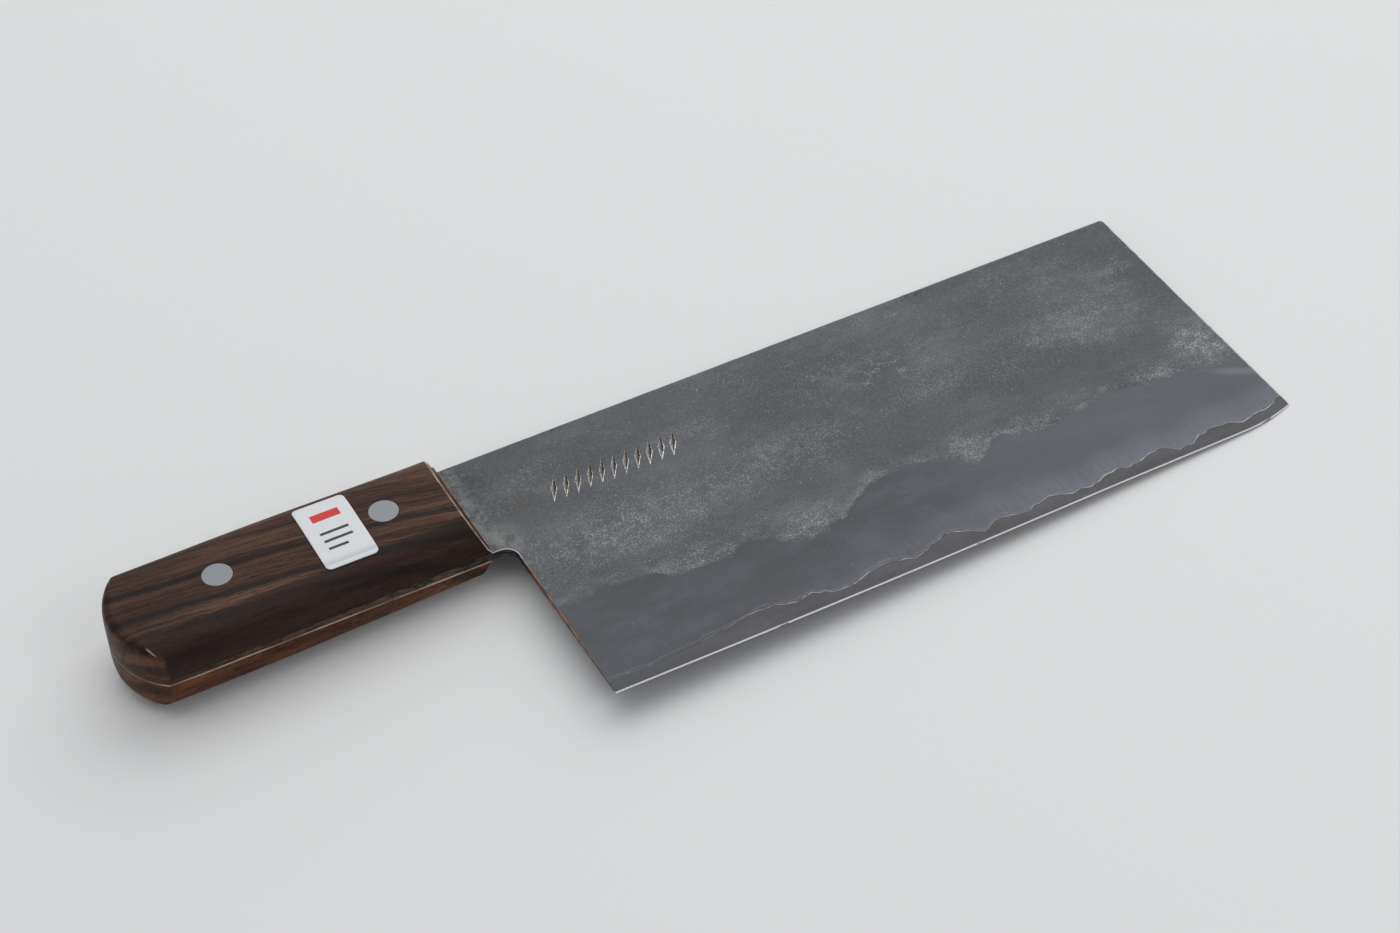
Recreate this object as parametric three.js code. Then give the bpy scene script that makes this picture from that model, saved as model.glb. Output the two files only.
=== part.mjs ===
// Chinese cleaver: a three-layer forged blade with a full tapered tang between two riveted wooden scales.
// Millimetres, +Z up, the cleaver lying on its side. Drawn on the knife's own axes first: x runs from the
// heel to the tip, y from the cutting edge to the spine, z = 0 is the middle of the steel.
import * as THREE from "three";

const BLADE_LENGTH = 220;
const BLADE_HEIGHT = 99.2;
const EDGE_BELLY = 0.55;
const BELLY_SPAN = 160;
const TIP_RISE = 2.8;
const TIP_RISE_SPAN = 17;
const TIP_CORNER_RADIUS = 1.2;
const EDGE_STEP = 4;

const EDGE_HALF = 0.382;
const SPINE_HALF = 1.85;
const CORE_SPINE_HALF = 0.75;
const TIP_THINNING = 0.15;
const BEVEL_HEIGHT = 2.3;
const MICRO_HEIGHT = 0.5;
const MICRO_HALF = 0.1;
const WELD = 0.02;

const NECK_X = -5.5;
const TANG_BOTTOM = 62.3;
const CHOIL_RADIUS = 4;
const TANG_THINNING = 0.6;
const CORE_TANG_THINNING = 0.25;
const SHOULDER_START = -8;
const SHOULDER_END = -9.5;

const FRONT_X = -5.8;
const FRONT_LEAN = 0.42;
const SPINE_SIDE_FRONT = 101.6;
const SPINE_SIDE_BUTT = 100.2;
const BUTT_CENTRE = [-86.5, 81.4];
const BUTT_RADIUS = 24.1;
const SCALE_HALF = 11;
const CROWN = 1.01;
const SQUARENESS_FRONT = 3.1;
const SQUARENESS_BUTT = 5.2;
const BUTT_SQUARENESS = 8;
const BUTT_ROUNDING = 10;
const GLUE = 0.03;
const SIDE_STATIONS = 12;
const BUTT_STATIONS = 18;
const SCALE_LEVELS = [0, 0.25, 0.45, 0.6, 0.72, 0.81, 0.88, 0.93, 0.965, 0.988, 1];

const RIVET_Y = 83.3;
const FRONT_RIVET_X = -28.7;
const REAR_RIVET_X = -77.9;
const RIVET_HEAD_RADIUS = 4.3;
const RIVET_HEAD_HEIGHT = 3;
const RIVET_SLEEVE_RADIUS = 2.5;
const RIVET_PIN_RADIUS = 1.6;
const RIVET_PIN_TOP = 4.5;
const RIVET_BORE_TOP = 5;
const RIVET_RECESS = 0.03;
const RIVET_GAP = 0.03;
const RIVET_SIDES = 48;

const LABEL_CENTRE = [-43.6, 82.7];
const LABEL_WIDTH = 15.5;
const LABEL_LENGTH = 26.5;
const LABEL_CORNER = 1.6;
const LABEL_LIFT = 0.1;
const LABEL_THICKNESS = 0.3;
const LABEL_ROWS = 18;

// Height of the light forge-weld line above the cutting edge, crest by crest from heel to tip.
const WELD_LINE = new THREE.SplineCurve([
  [0, 4.2], [12, 3.9], [30, 5.2], [49, 7.4], [57, 4.9], [63, 6.1], [71, 2.9], [85, 5.9], [96, 3.8],
  [107, 7.4], [116, 3.2], [123, 5.5], [130, 3.4], [137, 5.1], [152, 3.2], [160, 5.3], [167, 4.1],
  [175, 6.2], [183, 3.3], [195, 5.8], [206, 3.8], [220, 5.8],
].map(([x, y]) => new THREE.Vector2(x, y)));
const WELD_LINE_POINTS = 110;

const BUTT_END = BUTT_CENTRE[0] - BUTT_RADIUS;
const HANDLE_LENGTH = FRONT_X - BUTT_END;

function edgeHeight(x) {
  const belly = x < BELLY_SPAN ? -EDGE_BELLY * Math.sin((Math.PI * x) / BELLY_SPAN) : 0;
  const past = Math.max(0, x - (BLADE_LENGTH - TIP_RISE_SPAN)) / TIP_RISE_SPAN;
  return belly + TIP_RISE * past * past;
}

// Half thicknesses of the steel: one flat plane over the blade, bent at the neck into the thinning tang.
function tangThinning(x, loss) {
  return x < NECK_X ? (loss * (NECK_X - x)) / HANDLE_LENGTH : 0;
}

function coreHalf(x, y) {
  const wedge = EDGE_HALF + ((CORE_SPINE_HALF - EDGE_HALF) * y) / BLADE_HEIGHT;
  return wedge - (TIP_THINNING * x) / BLADE_LENGTH - tangThinning(x, CORE_TANG_THINNING);
}

function steelHalf(x, y) {
  const wedge = EDGE_HALF + ((SPINE_HALF - EDGE_HALF) * y) / BLADE_HEIGHT;
  return wedge - (TIP_THINNING * x) / BLADE_LENGTH - tangThinning(x, TANG_THINNING);
}

// Share of the way from the front of the handle to its butt corners.
function alongHandle(x) {
  return THREE.MathUtils.clamp((FRONT_X - x) / (FRONT_X - BUTT_CENTRE[0]), 0, 1);
}

function spineSide(x) {
  return THREE.MathUtils.lerp(SPINE_SIDE_FRONT, SPINE_SIDE_BUTT, alongHandle(x));
}

function squareness(x) {
  return THREE.MathUtils.lerp(SQUARENESS_FRONT, SQUARENESS_BUTT, THREE.MathUtils.smoothstep(alongHandle(x), 0, 1));
}

// How far a rounded side has come in at height z, for a half width and a squareness.
function inset(z, halfWidth, square) {
  const rise = z / (SCALE_HALF * CROWN);
  return halfWidth * (1 - (1 - rise ** square) ** (1 / square));
}

function halfWidth(x) {
  return (spineSide(x) - TANG_BOTTOM) / 2;
}

function spread(from, to, count) {
  return Array.from({ length: count + 1 }, (_, i) => from + ((to - from) * i) / count);
}

// Outline of the handle at height z, from the front of the spine side round the butt to the front below.
function handleOutline(z) {
  const front = FRONT_X - FRONT_LEAN * z;
  const radius = BUTT_RADIUS - inset(z, BUTT_ROUNDING, BUTT_SQUARENESS);
  const cornerInset = inset(z, halfWidth(BUTT_CENTRE[0]), SQUARENESS_BUTT);
  const spineCorner = Math.asin((spineSide(BUTT_CENTRE[0]) - cornerInset - BUTT_CENTRE[1]) / radius);
  const bottomCorner = Math.asin((TANG_BOTTOM + cornerInset - BUTT_CENTRE[1]) / radius);
  const arc = spread(spineCorner, bottomCorner, BUTT_STATIONS).map((a) => [
    BUTT_CENTRE[0] - radius * Math.cos(a),
    BUTT_CENTRE[1] + radius * Math.sin(a),
  ]);
  const side = (x) => inset(z, halfWidth(x), squareness(x));
  const top = spread(front, arc[0][0], SIDE_STATIONS).slice(0, -1).map((x) => [x, spineSide(x) - side(x)]);
  const below = spread(arc[arc.length - 1][0], front, SIDE_STATIONS).slice(1).map((x) => [x, TANG_BOTTOM + side(x)]);
  return [...top, ...arc, ...below];
}

// Steel outline, anticlockwise from above: the lower edge given, then tip, spine, tang and heel.
function steelOutline(lower) {
  const corner = spread(0, Math.PI / 2, 4).map((a) => [
    BLADE_LENGTH - TIP_CORNER_RADIUS * (1 - Math.cos(a)),
    BLADE_HEIGHT - TIP_CORNER_RADIUS * (1 - Math.sin(a)),
  ]);
  const handle = handleOutline(0);
  const tang = handle.filter(([x]) => x < SHOULDER_END);
  const choil = spread(Math.PI / 2, 0, 8).map((a) => [
    -CHOIL_RADIUS + CHOIL_RADIUS * Math.cos(a),
    TANG_BOTTOM - CHOIL_RADIUS + CHOIL_RADIUS * Math.sin(a),
  ]);
  const shoulder = [[NECK_X, BLADE_HEIGHT], [SHOULDER_START, BLADE_HEIGHT], [SHOULDER_END, spineSide(SHOULDER_END)]];
  return [...lower, ...corner, ...shoulder, ...tang, [NECK_X, TANG_BOTTOM], ...choil];
}

function circle(x, y, radius, height) {
  return spread(0, 2 * Math.PI, RIVET_SIDES).slice(0, -1).map((a) => {
    const px = x + radius * Math.cos(a);
    const py = y + radius * Math.sin(a);
    return [px, py, height(px, py)];
  });
}

// Closed body from outlines stacked upwards, with bores stacked the same way. The lids are flat, or two
// flats that meet at a fold across x.
function stackedBody(rings, bores, fold) {
  const points = [];
  const faces = [];
  const place = (ring) => {
    const start = points.length;
    points.push(...ring);
    return ring.map((_, i) => start + i);
  };
  const wall = (low, high, outward) => low.forEach((a, i) => {
    const next = (i + 1) % low.length;
    const [b, c, d] = [low[next], high[next], high[i]];
    faces.push(...(outward ? [[a, b, c], [a, c, d]] : [[a, c, b], [a, d, c]]));
  });
  const lid = (outer, holes, up) => {
    const flat = (ids) => ids.map((id) => new THREE.Vector2(points[id][0], points[id][1]));
    const all = [outer, ...holes].flat();
    THREE.ShapeUtils.triangulateShape(flat(outer), holes.map(flat)).forEach(([a, b, c]) => {
      faces.push(up ? [all[a], all[b], all[c]] : [all[a], all[c], all[b]]);
    });
  };
  const placed = rings.map(place);
  const bored = bores.map((bore) => bore.map(place));
  placed.slice(1).forEach((ring, k) => wall(placed[k], ring, true));
  bored.forEach((bore) => bore.slice(1).forEach((ring, k) => wall(bore[k], ring, false)));
  const close = (ring, holes, up) => {
    if (fold === undefined) {
      lid(ring, holes, up);
      return;
    }
    lid(ring.filter((id) => points[id][0] >= fold), [], up);
    lid(ring.filter((id) => points[id][0] <= fold), holes, up);
  };
  close(placed[0], bored.map((bore) => bore[0]), false);
  close(placed[placed.length - 1], bored.map((bore) => bore[bore.length - 1]), true);
  const geometry = new THREE.BufferGeometry();
  geometry.setAttribute("position", new THREE.Float32BufferAttribute(points.flat(), 3));
  geometry.setIndex(faces.flat());
  return geometry;
}

function flipped(geometry) {
  geometry.scale(1, 1, -1);
  const index = Array.from(geometry.index.array);
  for (let i = 0; i < index.length; i += 3) {
    [index[i], index[i + 1]] = [index[i + 1], index[i]];
  }
  geometry.setIndex(index);
  return geometry;
}

const RIVETS = [[FRONT_RIVET_X, RIVET_Y], [REAR_RIVET_X, RIVET_Y]];

// Hard core steel: its lower edge is ground to a bevel and a fine micro-bevel on both faces.
function bladeCore() {
  const stations = spread(0, BLADE_LENGTH, BLADE_LENGTH / EDGE_STEP);
  const ring = (lift, share, edgeZ) => {
    const lower = stations.map((x) => [x, edgeHeight(x) + lift]);
    return steelOutline(lower).map(([x, y], i) => [x, y, i < lower.length && edgeZ !== null ? edgeZ : share * coreHalf(x, y)]);
  };
  const rings = [
    ring(BEVEL_HEIGHT, -1, null),
    ring(MICRO_HEIGHT, -0.4, -MICRO_HALF),
    ring(0, 0, 0),
    ring(MICRO_HEIGHT, 0.4, MICRO_HALF),
    ring(BEVEL_HEIGHT, 1, null),
  ];
  const radius = RIVET_SLEEVE_RADIUS + RIVET_GAP;
  const bores = RIVETS.map(([x, y]) => [
    circle(x, y, radius, (px, py) => -coreHalf(px, py)),
    circle(x, y, radius, coreHalf),
  ]);
  return stackedBody(rings, bores, NECK_X);
}

// Soft iron cladding of one face, from the forge-weld line up over the tang.
function cladding(line) {
  const outline = steelOutline(line);
  const inner = (x, y) => coreHalf(x, y) + WELD;
  const rings = [
    outline.map(([x, y]) => [x, y, inner(x, y)]),
    outline.map(([x, y]) => [x, y, steelHalf(x, y)]),
  ];
  const radius = RIVET_SLEEVE_RADIUS + RIVET_GAP;
  const bores = RIVETS.map(([x, y]) => [circle(x, y, radius, inner), circle(x, y, radius, steelHalf)]);
  return stackedBody(rings, bores, NECK_X);
}

// Wooden scale of one face: boxy at the butt, rounder at the front, with a flat land for the rivets.
function handleScale() {
  const seam = (x, y) => steelHalf(x, y) + GLUE;
  const rings = SCALE_LEVELS.map((level) => {
    const outline = handleOutline(level * SCALE_HALF);
    return outline.map(([x, y]) => [x, y, level === 0 ? seam(x, y) : Math.max(seam(x, y), level * SCALE_HALF)]);
  });
  const floor = () => SCALE_HALF - RIVET_RECESS - RIVET_HEAD_HEIGHT - RIVET_GAP;
  const bores = RIVETS.map(([x, y]) => [
    circle(x, y, RIVET_SLEEVE_RADIUS + RIVET_GAP, seam),
    circle(x, y, RIVET_SLEEVE_RADIUS + RIVET_GAP, floor),
    circle(x, y, RIVET_HEAD_RADIUS + RIVET_GAP, floor),
    circle(x, y, RIVET_HEAD_RADIUS + RIVET_GAP, () => SCALE_HALF),
  ]);
  return stackedBody(rings, bores);
}

// Cutler's rivet, upper half: a flush head on a hollow sleeve.
function rivetSleeve([x, y]) {
  const top = SCALE_HALF - RIVET_RECESS;
  const bottom = -top + RIVET_HEAD_HEIGHT + RIVET_GAP;
  const profile = [
    [0, RIVET_BORE_TOP],
    [RIVET_PIN_RADIUS + RIVET_GAP, RIVET_BORE_TOP],
    [RIVET_PIN_RADIUS + RIVET_GAP, bottom],
    [RIVET_SLEEVE_RADIUS, bottom],
    [RIVET_SLEEVE_RADIUS, top - RIVET_HEAD_HEIGHT],
    [RIVET_HEAD_RADIUS, top - RIVET_HEAD_HEIGHT],
    [RIVET_HEAD_RADIUS, top],
    [0, top],
  ];
  return turned(profile, x, y);
}

// Cutler's rivet, lower half: a flush head on a solid pin driven into the sleeve.
function rivetPost([x, y]) {
  const bottom = -SCALE_HALF + RIVET_RECESS;
  const profile = [
    [0, bottom],
    [RIVET_HEAD_RADIUS, bottom],
    [RIVET_HEAD_RADIUS, bottom + RIVET_HEAD_HEIGHT],
    [RIVET_PIN_RADIUS, bottom + RIVET_HEAD_HEIGHT],
    [RIVET_PIN_RADIUS, RIVET_PIN_TOP],
    [0, RIVET_PIN_TOP],
  ];
  return turned(profile, x, y);
}

function turned(profile, x, y) {
  const geometry = new THREE.LatheGeometry(profile.map(([r, z]) => new THREE.Vector2(r, z)), RIVET_SIDES);
  geometry.rotateX(Math.PI / 2);
  geometry.translate(x, y, 0);
  return geometry;
}

// Paper label laid over the crown of the upper scale, its long side across the handle.
function label() {
  const crownHeight = (x, y) => {
    const square = squareness(x);
    const out = Math.abs(y - (TANG_BOTTOM + spineSide(x)) / 2) / halfWidth(x);
    return Math.min(SCALE_HALF, SCALE_HALF * CROWN * (1 - out ** square) ** (1 / square));
  };
  const half = LABEL_LENGTH / 2;
  const rows = spread(0, Math.PI, LABEL_ROWS).map((a) => -half * Math.cos(a));
  const rings = rows.map((v) => {
    const past = Math.max(0, Math.abs(v) - (half - LABEL_CORNER));
    const cut = LABEL_CORNER - Math.sqrt(LABEL_CORNER ** 2 - past ** 2);
    const y = LABEL_CENTRE[1] + v;
    const [left, right] = [-1, 1].map((side) => LABEL_CENTRE[0] + side * (LABEL_WIDTH / 2 - cut));
    const low = (x) => crownHeight(x, y) + LABEL_LIFT;
    return [
      [right, y, low(right)],
      [right, y, low(right) + LABEL_THICKNESS],
      [left, y, low(left) + LABEL_THICKNESS],
      [left, y, low(left)],
    ];
  });
  const points = rings.flat();
  const faces = [];
  rings.slice(1).forEach((_, k) => {
    for (let i = 0; i < 4; i += 1) {
      const [a, b] = [4 * k + i, 4 * k + ((i + 1) % 4)];
      faces.push([a, b + 4, b], [a, a + 4, b + 4]);
    }
  });
  const last = points.length - 4;
  faces.push([0, 1, 2], [0, 2, 3], [last, last + 2, last + 1], [last, last + 3, last + 2]);
  const geometry = new THREE.BufferGeometry();
  geometry.setAttribute("position", new THREE.Float32BufferAttribute(points.flat(), 3));
  geometry.setIndex(faces.flat());
  return geometry;
}

const weldPoints = WELD_LINE.getPoints(WELD_LINE_POINTS).map((p) => [p.x, p.y + edgeHeight(p.x) * 0.5]);
const farWeldPoints = weldPoints.map(([x, y]) => [BLADE_LENGTH - x, y]).reverse();

const steel = { metalness: 0.9, flatShading: true };
const wood = { color: 0x4a2618, metalness: 0, roughness: 0.55, flatShading: true };
const rivetMetal = { color: 0xc9cbcc, metalness: 0.85, roughness: 0.4, flatShading: true };

const pieces = [
  ["blade_core", bladeCore(), { ...steel, color: 0x77726c, roughness: 0.35 }],
  ["upper_cladding", cladding(weldPoints), { ...steel, color: 0x8d8f90, roughness: 0.5 }],
  ["lower_cladding", flipped(cladding(farWeldPoints)), { ...steel, color: 0x8d8f90, roughness: 0.5 }],
  ["upper_scale", handleScale(), wood],
  ["lower_scale", flipped(handleScale()), wood],
  ["front_rivet_sleeve", rivetSleeve(RIVETS[0]), rivetMetal],
  ["front_rivet_post", rivetPost(RIVETS[0]), rivetMetal],
  ["rear_rivet_sleeve", rivetSleeve(RIVETS[1]), rivetMetal],
  ["rear_rivet_post", rivetPost(RIVETS[1]), rivetMetal],
  ["label", label(), { color: 0xf2f0ea, metalness: 0, roughness: 0.35, flatShading: true }],
];

// The row frame: centred on the box in plan, with the handle's lower land at z = 0.
const shift = [-(BLADE_LENGTH + BUTT_END) / 2, -(SPINE_SIDE_FRONT - EDGE_BELLY) / 2, SCALE_HALF];

const cleaver = new THREE.Group();
cleaver.name = "chinese_cleaver";
for (const [name, geometry, look] of pieces) {
  geometry.translate(...shift);
  const mesh = new THREE.Mesh(geometry, new THREE.MeshStandardMaterial(look));
  mesh.name = name;
  cleaver.add(mesh);
}

export default cleaver;
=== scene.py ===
"""Chinese cleaver lying on its side: a forged three-layer blade in a riveted wooden handle."""

import math

import bpy
import numpy as np
from mathutils import Matrix, Vector


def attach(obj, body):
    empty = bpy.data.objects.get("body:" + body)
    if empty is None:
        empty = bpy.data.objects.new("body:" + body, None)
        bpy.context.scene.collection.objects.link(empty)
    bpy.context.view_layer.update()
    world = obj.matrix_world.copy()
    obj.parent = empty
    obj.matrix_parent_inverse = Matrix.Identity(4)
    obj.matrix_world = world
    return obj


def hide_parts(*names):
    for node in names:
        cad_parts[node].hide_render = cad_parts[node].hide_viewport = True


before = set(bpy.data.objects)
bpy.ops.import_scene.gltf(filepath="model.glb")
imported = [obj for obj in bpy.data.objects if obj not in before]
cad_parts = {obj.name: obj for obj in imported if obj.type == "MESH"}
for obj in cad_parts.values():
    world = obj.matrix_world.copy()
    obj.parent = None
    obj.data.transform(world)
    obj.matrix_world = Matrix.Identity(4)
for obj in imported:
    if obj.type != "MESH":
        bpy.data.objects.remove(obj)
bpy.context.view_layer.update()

# Core plate. One sheet of hard carbon steel runs through blade and tang, forge-welded between two soft iron
# claddings. It shows as the strip along the cutting edge, ground on both faces to a bevel and a micro-bevel.
MM = 0.001
KNIFE_ORIGIN = (54.7, 50.525, -11.0)
JOIN = 0.001 * MM
BLADE_LENGTH = 220.0
EDGE_BELLY = 0.55
BELLY_SPAN = 160.0
TIP_RISE = 2.8
TIP_RISE_FROM = 203.0
TIP_RISE_SPAN = 17.0
MICRO_BEVEL = 0.5
SPINE_Y = 99.2
SIDEWAYS = 0.5
CORE_HAZED_ALONG = (46.0, 16.0)
TANG_BARE_ALONG = (-70.0, -8.0)
TANNED_ALONG = (-6.0, -26.0)
OILED_ALONG = (-84.0, -96.0)
HEEL_RUST_TOP = (56.0, 42.0)
HEEL_RUST_FOOT = (4.0, 14.0)
HEEL_RUST_FRONT = (12.0, 4.0)
SPINE_GROUND_UP = (SPINE_Y - 1.5, SPINE_Y - 0.5)
SPINE_GROUND_ALONG = (-100.0, -72.0)
CORE_GREY = (0.096, 0.0965, 0.103, 1.0)
CORE_GREY_WARM = (0.068, 0.066, 0.0675, 1.0)
CORE_HAZED = (0.075, 0.0765, 0.083, 1.0)
MICRO_BRIGHT = (0.62, 0.63, 0.65, 1.0)
EDGE_BROWN = (0.03, 0.026, 0.022, 1.0)
EDGE_GREY = (0.12, 0.113, 0.102, 1.0)
EDGE_OILED = (0.075, 0.042, 0.026, 1.0)
EDGE_TANNED = (0.15, 0.09, 0.062, 1.0)
EDGE_RUST = (0.27, 0.108, 0.034, 1.0)
SPINE_GREY = (0.34, 0.345, 0.35, 1.0)


def knife(point):
    """A point of the frame in the knife's millimetres: x from the heel, y from the edge, z from mid steel."""
    return Vector(point) / MM + Vector(KNIFE_ORIGIN)


def framed(x, y, z):
    """A point given in the knife's own millimetres, in the frame."""
    return (Vector((x, y, z)) - Vector(KNIFE_ORIGIN)) * MM


def edge_height(x):
    """Height of the cutting edge: a slight belly, and a rise to the tip."""
    belly = -EDGE_BELLY * math.sin(math.pi * x / BELLY_SPAN) if x < BELLY_SPAN else 0.0
    past = max(0.0, x - TIP_RISE_FROM) / TIP_RISE_SPAN
    return belly + TIP_RISE * past * past


def work_on(piece):
    """Makes one piece the only thing selected."""
    bpy.ops.object.select_all(action="DESELECT")
    piece.select_set(True)
    bpy.context.view_layer.objects.active = piece


def joined_copy(node, name):
    """A piece's solid as a new mesh with its loose triangles joined, ready to be worked on."""
    piece = bpy.data.objects.new(name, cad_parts[node].data.copy())
    bpy.context.scene.collection.objects.link(piece)
    work_on(piece)
    bpy.ops.object.mode_set(mode="EDIT")
    bpy.ops.mesh.customdata_custom_splitnormals_clear()
    bpy.ops.mesh.select_all(action="SELECT")
    bpy.ops.mesh.remove_doubles(threshold=JOIN)
    bpy.ops.mesh.mark_sharp(clear=True)
    bpy.ops.object.mode_set(mode="OBJECT")
    piece.data.materials.clear()
    return piece


def new_finish(name, metallic, specular):
    """An empty finish with its surface shader, and the knife's own millimetres to draw it on."""
    finish = bpy.data.materials.new(name)
    finish.use_nodes = True
    tree = finish.node_tree
    surface = tree.nodes["Principled BSDF"]
    surface.inputs["Metallic"].default_value = metallic
    surface.inputs["Specular IOR Level"].default_value = specular
    coords = tree.nodes.new("ShaderNodeTexCoord")
    place = tree.nodes.new("ShaderNodeMapping")
    place.inputs["Location"].default_value = KNIFE_ORIGIN
    place.inputs["Scale"].default_value = (1 / MM, 1 / MM, 1 / MM)
    tree.links.new(coords.outputs["Object"], place.inputs["Vector"])
    return finish, tree, surface, place.outputs["Vector"]


def feed(tree, socket, value):
    """Sets a socket from another node's result, or from a plain value."""
    if isinstance(value, bpy.types.NodeSocket):
        tree.links.new(value, socket)
    else:
        socket.default_value = value


def reckon(tree, operation, *values):
    """One sum on the way to a finish."""
    step = tree.nodes.new("ShaderNodeMath")
    step.operation = operation
    for socket, value in zip(step.inputs, values):
        feed(tree, socket, value)
    return step.outputs[0]


def axes(tree, place):
    """The x, y and z of a place on the knife."""
    split = tree.nodes.new("ShaderNodeSeparateXYZ")
    tree.links.new(place, split.inputs[0])
    return split.outputs


def mottle(tree, place, sizes, detail=3.0, roughness=0.55, shift=(0.0, 0.0, 0.0)):
    """Cloudy marks from 0 to 1, about as long along x, y and z as the sizes say."""
    stretch = tree.nodes.new("ShaderNodeMapping")
    stretch.inputs["Location"].default_value = shift
    stretch.inputs["Scale"].default_value = [1 / size for size in sizes]
    tree.links.new(place, stretch.inputs["Vector"])
    cloud = tree.nodes.new("ShaderNodeTexNoise")
    cloud.inputs["Scale"].default_value = 1.0
    cloud.inputs["Detail"].default_value = detail
    cloud.inputs["Roughness"].default_value = roughness
    tree.links.new(stretch.outputs["Vector"], cloud.inputs["Vector"])
    return cloud.outputs[0]


def fade(tree, value, start, end, low=0.0, high=1.0):
    """A soft step from low at the start to high at the end."""
    step = tree.nodes.new("ShaderNodeMapRange")
    step.interpolation_type = "SMOOTHSTEP"
    settings = {"Value": value, "From Min": start, "From Max": end, "To Min": low, "To Max": high}
    for name, setting in settings.items():
        feed(tree, step.inputs[name], setting)
    return step.outputs["Result"]


def tint(tree, share, under, over):
    """One colour laid over another by a share."""
    mix = tree.nodes.new("ShaderNodeMix")
    mix.data_type = "RGBA"
    for socket, value in ((mix.inputs[0], share), (mix.inputs[6], under), (mix.inputs[7], over)):
        feed(tree, socket, value)
    return mix.outputs[2]


def relief(tree, surface, height, depth):
    """Fine relief of a surface, at most a depth in millimetres."""
    bump = tree.nodes.new("ShaderNodeBump")
    bump.inputs["Distance"].default_value = depth * MM
    tree.links.new(height, bump.inputs["Height"])
    tree.links.new(bump.outputs["Normal"], surface.inputs["Normal"])


def core_finish():
    """Hard steel after the edge grind: warm grey, with fine lines running up from the edge."""
    finish, tree, surface, place = new_finish("core_steel_ground", 0.75, 0.25)
    cloud = mottle(tree, place, (26.0, 7.0, 20.0), 4.0)
    lines = mottle(tree, place, (0.35, 16.0, 16.0), 2.0)
    shade = reckon(tree, "ADD", reckon(tree, "MULTIPLY", cloud, 0.7), reckon(tree, "MULTIPLY", lines, 0.42))
    colour = tint(tree, fade(tree, shade, 0.38, 0.74), CORE_GREY_WARM, CORE_GREY)
    colour = tint(tree, fade(tree, axes(tree, place)[0], *CORE_HAZED_ALONG, 0.0, 0.8), colour, CORE_HAZED)
    feed(tree, surface.inputs["Base Color"], colour)
    feed(tree, surface.inputs["Roughness"], fade(tree, lines, 0.3, 0.7, 0.36, 0.46))
    relief(tree, surface, lines, 0.006)
    return finish


def micro_bevel_finish():
    """Bright honed line along the cutting edge, with the last stone's scratches."""
    finish, tree, surface, place = new_finish("micro_bevel_honed", 1.0, 0.5)
    scratches = mottle(tree, place, (0.25, 4.0, 4.0), 2.0)
    feed(tree, surface.inputs["Base Color"], tint(tree, scratches, CORE_GREY, MICRO_BRIGHT))
    feed(tree, surface.inputs["Roughness"], fade(tree, scratches, 0.3, 0.7, 0.22, 0.36))
    relief(tree, surface, scratches, 0.004)
    return finish


def raw_edge_finish():
    """Cut edges of the plate: browned and spotted at heel, choil and tang, ground clean along the spine."""
    finish, tree, surface, place = new_finish("plate_edge_browned", 1.0, 0.5)
    x, y, _ = axes(tree, place)
    spots = mottle(tree, place, (3.2, 3.2, 0.5), 4.0, 0.65)
    bare = fade(tree, x, *TANG_BARE_ALONG, 0.35, 1.0)
    colour = tint(tree, reckon(tree, "MULTIPLY", fade(tree, spots, 0.4, 0.68), bare), EDGE_BROWN, EDGE_GREY)
    tanned = reckon(tree, "MULTIPLY", fade(tree, x, *TANNED_ALONG, 0.0, 0.6), fade(tree, spots, 0.35, 0.6))
    colour = tint(tree, tanned, colour, EDGE_TANNED)
    colour = tint(tree, fade(tree, x, *OILED_ALONG, 0.0, 0.8), colour, EDGE_OILED)
    heel = reckon(tree, "MULTIPLY", fade(tree, y, *HEEL_RUST_TOP), fade(tree, y, *HEEL_RUST_FOOT))
    front = fade(tree, x, *HEEL_RUST_FRONT)
    blooms = fade(tree, mottle(tree, place, (5.0, 5.0, 2.0), 4.0), 0.38, 0.58)
    rust = reckon(tree, "MULTIPLY", reckon(tree, "MULTIPLY", heel, front), blooms)
    colour = tint(tree, rust, colour, EDGE_RUST)
    lines = mottle(tree, place, (9.0, 9.0, 0.12), 3.0)
    ground = reckon(tree, "MULTIPLY", fade(tree, y, *SPINE_GROUND_UP), fade(tree, lines, 0.2, 0.6))
    ground = reckon(tree, "MULTIPLY", ground, fade(tree, x, *SPINE_GROUND_ALONG, 0.2, 1.0))
    colour = tint(tree, ground, colour, SPINE_GREY)
    feed(tree, surface.inputs["Base Color"], colour)
    feed(tree, surface.inputs["Roughness"], fade(tree, spots, 0.3, 0.7, 0.58, 0.4))
    relief(tree, surface, spots, 0.015)
    return finish


raw_edge = raw_edge_finish()
core = joined_copy("blade_core", "core_plate")
for finish in (core_finish(), micro_bevel_finish(), raw_edge):
    core.data.materials.append(finish)
for face in core.data.polygons:
    x, y, _ = knife(face.center)
    if abs(face.normal.z) < SIDEWAYS:
        face.material_index = 2
    elif 0.0 < x < BLADE_LENGTH and y - edge_height(x) < MICRO_BEVEL:
        face.material_index = 1
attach(core, "root")
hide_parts("blade_core")

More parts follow.
